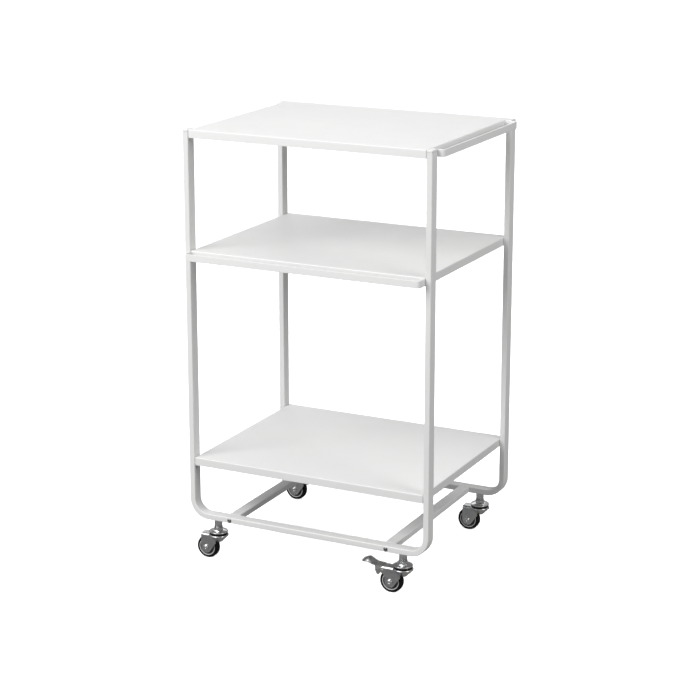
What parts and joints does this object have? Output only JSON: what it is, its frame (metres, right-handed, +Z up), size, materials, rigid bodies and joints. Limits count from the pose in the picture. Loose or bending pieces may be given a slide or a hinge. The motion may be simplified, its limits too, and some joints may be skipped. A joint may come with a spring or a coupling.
{
  "type": "rolling salon trolley",
  "caption": "White metal rolling salon trolley: three flat trays between bent tube frames, two towel rails, chrome swivel casters with foot brakes.",
  "frame": {"origin": "on the floor, below the middle of the whole trolley's bounding box", "axes": "+Z up, -Y to the front (the long side with the middle rail), +X to the side with the top rail"},
  "size_m": [0.4864, 0.3738, 0.748],
  "materials": {
    "white_paint": "satin powder coat",
    "white_plastic": "satin moulded",
    "zinc": "bright zinc plate",
    "chrome": "bright plate",
    "dark_steel": "blackened",
    "nylon": "moulded",
    "tyre_rubber": "matt"
  },
  "bodies": {
    "frame": {"front_frame": "white_paint", "back_frame": "white_paint", "left_crossbar": "white_paint", "right_crossbar": "white_paint", "top_shelf": "white_paint", "middle_shelf": "white_paint", "bottom_shelf": "white_paint", "top_side_rail": "white_paint", "middle_front_rail": "white_paint", "front_left_leg_cap": "white_plastic", "front_left_crossbar_bolt": "dark_steel", "front_left_stem": "zinc", "front_left_stem_nut": "chrome", "front_left_race_cap": "chrome", "front_left_race_balls": "chrome", "front_right_leg_cap": "white_plastic", "front_right_crossbar_bolt": "dark_steel", "front_right_stem": "zinc", "front_right_stem_nut": "chrome", "front_right_race_cap": "chrome", "front_right_race_balls": "chrome", "back_left_leg_cap": "white_plastic", "back_left_crossbar_bolt": "dark_steel", "back_left_stem": "zinc", "back_left_stem_nut": "chrome", "back_left_race_cap": "chrome", "back_left_race_balls": "chrome", "back_right_leg_cap": "white_plastic", "back_right_crossbar_bolt": "dark_steel", "back_right_stem": "zinc", "back_right_stem_nut": "chrome", "back_right_race_cap": "chrome", "back_right_race_balls": "chrome"},
    "front_left_swivel": {"front_left_fork": "zinc", "front_left_axle_bolt": "chrome", "front_left_axle_nut": "zinc"},
    "front_left_wheel": {"front_left_wheel_hub": "nylon", "front_left_tyre": "tyre_rubber"},
    "front_right_swivel": {"front_right_fork": "zinc", "front_right_axle_bolt": "chrome", "front_right_axle_nut": "zinc", "front_right_brake_pin": "zinc"},
    "front_right_wheel": {"front_right_wheel_hub": "nylon", "front_right_tyre": "tyre_rubber"},
    "front_right_brake": {"front_right_brake_pedal": "zinc"},
    "back_left_swivel": {"back_left_fork": "zinc", "back_left_axle_bolt": "chrome", "back_left_axle_nut": "zinc", "back_left_brake_pin": "zinc"},
    "back_left_wheel": {"back_left_wheel_hub": "nylon", "back_left_tyre": "tyre_rubber"},
    "back_left_brake": {"back_left_brake_pedal": "zinc"},
    "back_right_swivel": {"back_right_fork": "zinc", "back_right_axle_bolt": "chrome", "back_right_axle_nut": "zinc"},
    "back_right_wheel": {"back_right_wheel_hub": "nylon", "back_right_tyre": "tyre_rubber"}
  },
  "joints": [
    {"name": "front_left_swivel", "type": "hinge", "parent": "frame", "child": "front_left_swivel", "pos_m": [-0.169, -0.1554, 0.048], "axis": [0, 0, 1], "continuous": true},
    {"name": "front_left_roll", "type": "hinge", "parent": "front_left_swivel", "child": "front_left_wheel", "pos_m": [-0.189, -0.1554, 0.02], "axis": [0, 1, 0], "continuous": true},
    {"name": "front_right_swivel", "type": "hinge", "parent": "frame", "child": "front_right_swivel", "pos_m": [0.182, -0.1554, 0.048], "axis": [0, 0, 1], "continuous": true},
    {"name": "front_right_roll", "type": "hinge", "parent": "front_right_swivel", "child": "front_right_wheel", "pos_m": [0.162, -0.1554, 0.02], "axis": [0, 1, 0], "continuous": true},
    {"name": "front_right_brake_press", "type": "hinge", "parent": "front_right_swivel", "child": "front_right_brake", "pos_m": [0.1485, -0.1554, 0.038], "axis": [0, -1, 0], "range_deg": [0, 15]},
    {"name": "back_left_swivel", "type": "hinge", "parent": "frame", "child": "back_left_swivel", "pos_m": [-0.169, 0.1696, 0.048], "axis": [0, 0, 1], "continuous": true},
    {"name": "back_left_roll", "type": "hinge", "parent": "back_left_swivel", "child": "back_left_wheel", "pos_m": [-0.189, 0.1696, 0.02], "axis": [0, 1, 0], "continuous": true},
    {"name": "back_left_brake_press", "type": "hinge", "parent": "back_left_swivel", "child": "back_left_brake", "pos_m": [-0.2025, 0.1696, 0.038], "axis": [0, -1, 0], "range_deg": [0, 15]},
    {"name": "back_right_swivel", "type": "hinge", "parent": "frame", "child": "back_right_swivel", "pos_m": [0.182, 0.1696, 0.048], "axis": [0, 0, 1], "continuous": true},
    {"name": "back_right_roll", "type": "hinge", "parent": "back_right_swivel", "child": "back_right_wheel", "pos_m": [0.162, 0.1696, 0.02], "axis": [0, 1, 0], "continuous": true}
  ]
}
